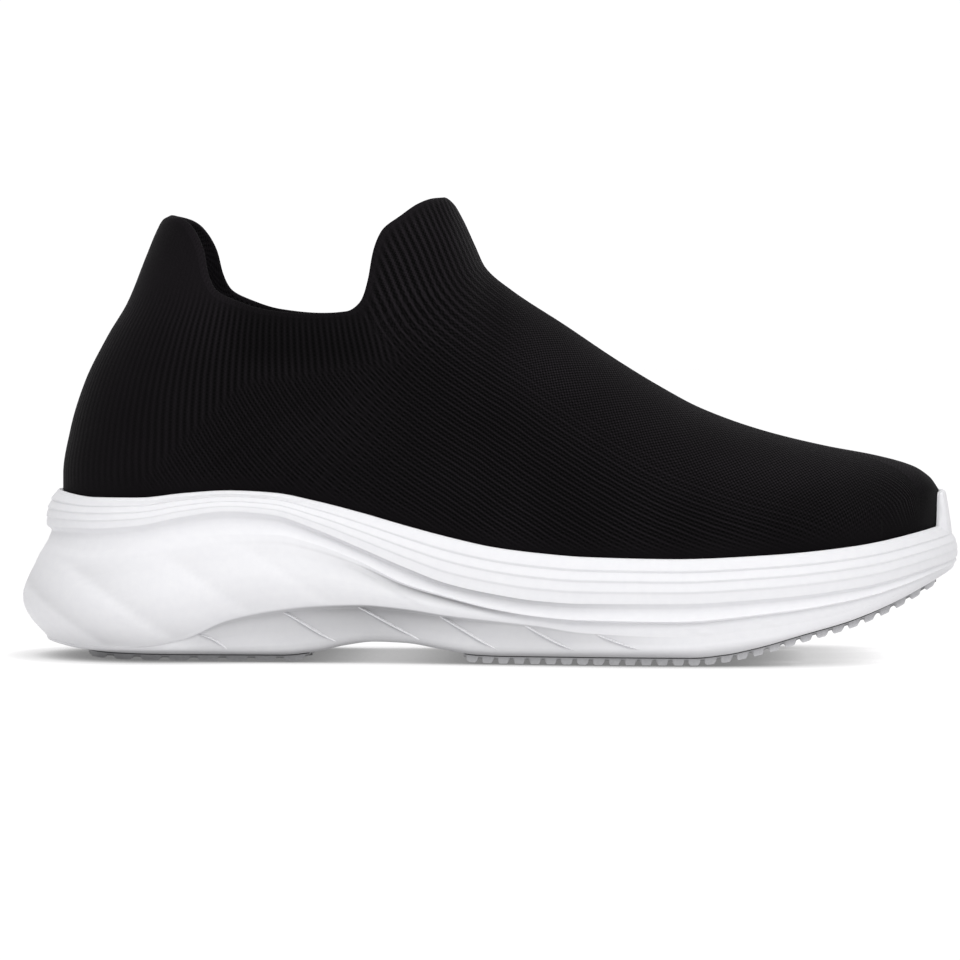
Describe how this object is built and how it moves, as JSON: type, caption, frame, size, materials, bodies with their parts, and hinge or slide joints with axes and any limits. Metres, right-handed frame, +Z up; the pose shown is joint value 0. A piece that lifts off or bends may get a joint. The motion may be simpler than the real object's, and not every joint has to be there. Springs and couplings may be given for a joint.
{
  "type": "slip-on sneaker",
  "caption": "Low slip-on trainer: black seamless knit sock upper with raised heel tab and tall tongue on a thick white foam sole with flared heel and toe spring.",
  "frame": {"origin": "centre of the shoe's box in plan, on the floor", "axes": "+X towards the toe, +Y towards the inner side of the foot, +Z up"},
  "size_m": [0.2799, 0.1008, 0.1365],
  "materials": {
    "knit_black": "matte fine knit",
    "foam_white": "satin moulded foam",
    "rubber_heel": "matte",
    "rubber_forefoot": "matte",
    "footbed_black": "matte lining over foam"
  },
  "bodies": {
    "root": {"upper": "knit_black", "midsole": "foam_white", "outsole_heel": "rubber_heel", "outsole_forefoot": "rubber_forefoot", "insole": "footbed_black"}
  },
  "joints": []
}
